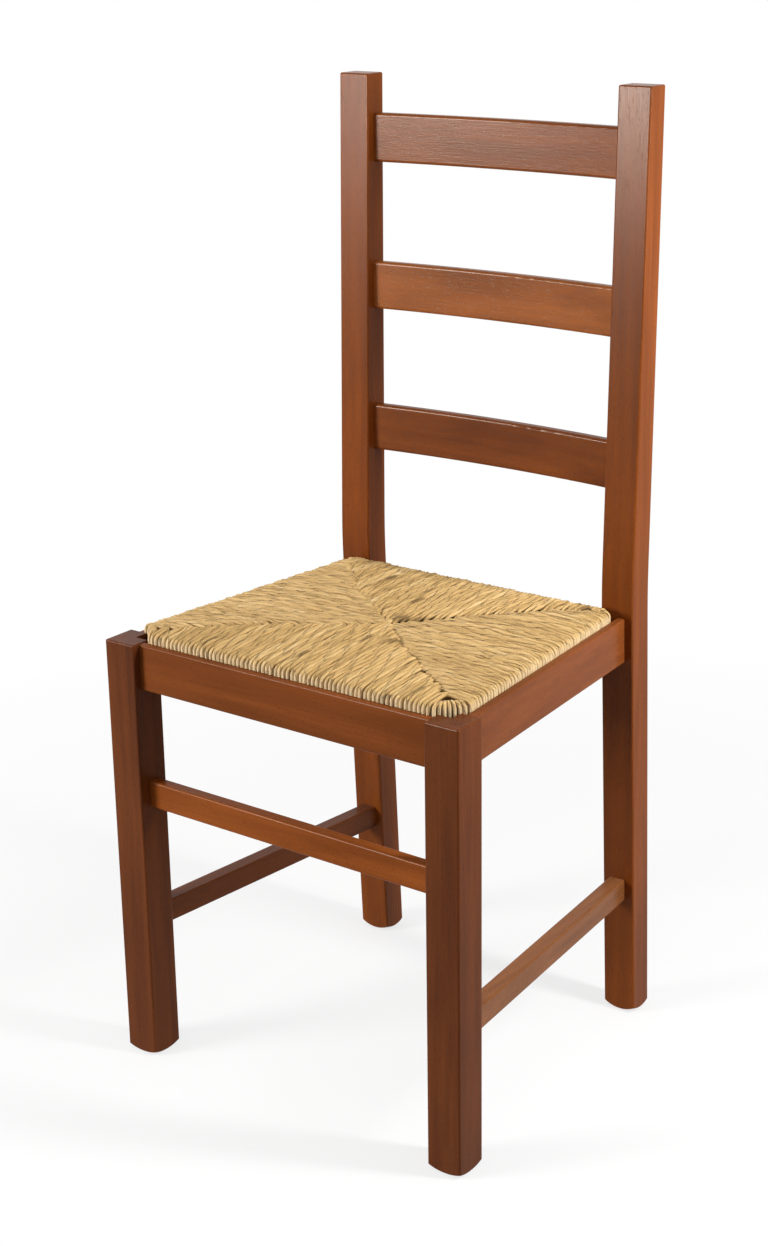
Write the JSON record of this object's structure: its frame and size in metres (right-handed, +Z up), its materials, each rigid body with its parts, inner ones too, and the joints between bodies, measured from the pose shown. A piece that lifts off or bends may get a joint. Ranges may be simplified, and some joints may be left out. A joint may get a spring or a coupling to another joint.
{
  "type": "ladderback dining chair",
  "caption": "Wooden ladderback dining chair with tall back posts, bowed slats, square front legs, low side stretchers and a drop-in woven rush seat.",
  "frame": {"origin": "on the floor, under the middle of the chair's outline", "axes": "+X towards the sitter's left, -Y the way the sitter faces, +Z up"},
  "size_m": [0.43, 0.4009, 0.984],
  "materials": {
    "stained_beech": "satin reddish walnut stain on beech",
    "plain_softwood": "bare planed wood, unseen from above",
    "rush": "dry twisted rush, straw coloured, dull sheen",
    "zinc_steel": "zinc plated"
  },
  "bodies": {
    "root": {"front_leg_left": "stained_beech", "front_leg_right": "stained_beech", "rear_post_left": "stained_beech", "rear_post_right": "stained_beech", "front_seat_rail": "stained_beech", "rear_seat_rail": "stained_beech", "side_seat_rail_left": "stained_beech", "side_seat_rail_right": "stained_beech", "front_stretcher": "stained_beech", "side_stretcher_left": "stained_beech", "side_stretcher_right": "stained_beech", "top_slat": "stained_beech", "middle_slat": "stained_beech", "lower_slat": "stained_beech", "seat_frame_front_rail": "plain_softwood", "seat_frame_rear_rail": "plain_softwood", "seat_frame_left_rail": "plain_softwood", "seat_frame_right_rail": "plain_softwood", "rush_seat": "rush", "corner_block_front_left": "plain_softwood", "corner_block_front_right": "plain_softwood", "corner_block_rear_left": "plain_softwood", "corner_block_rear_right": "plain_softwood", "seat_screws": "zinc_steel"}
  },
  "joints": []
}
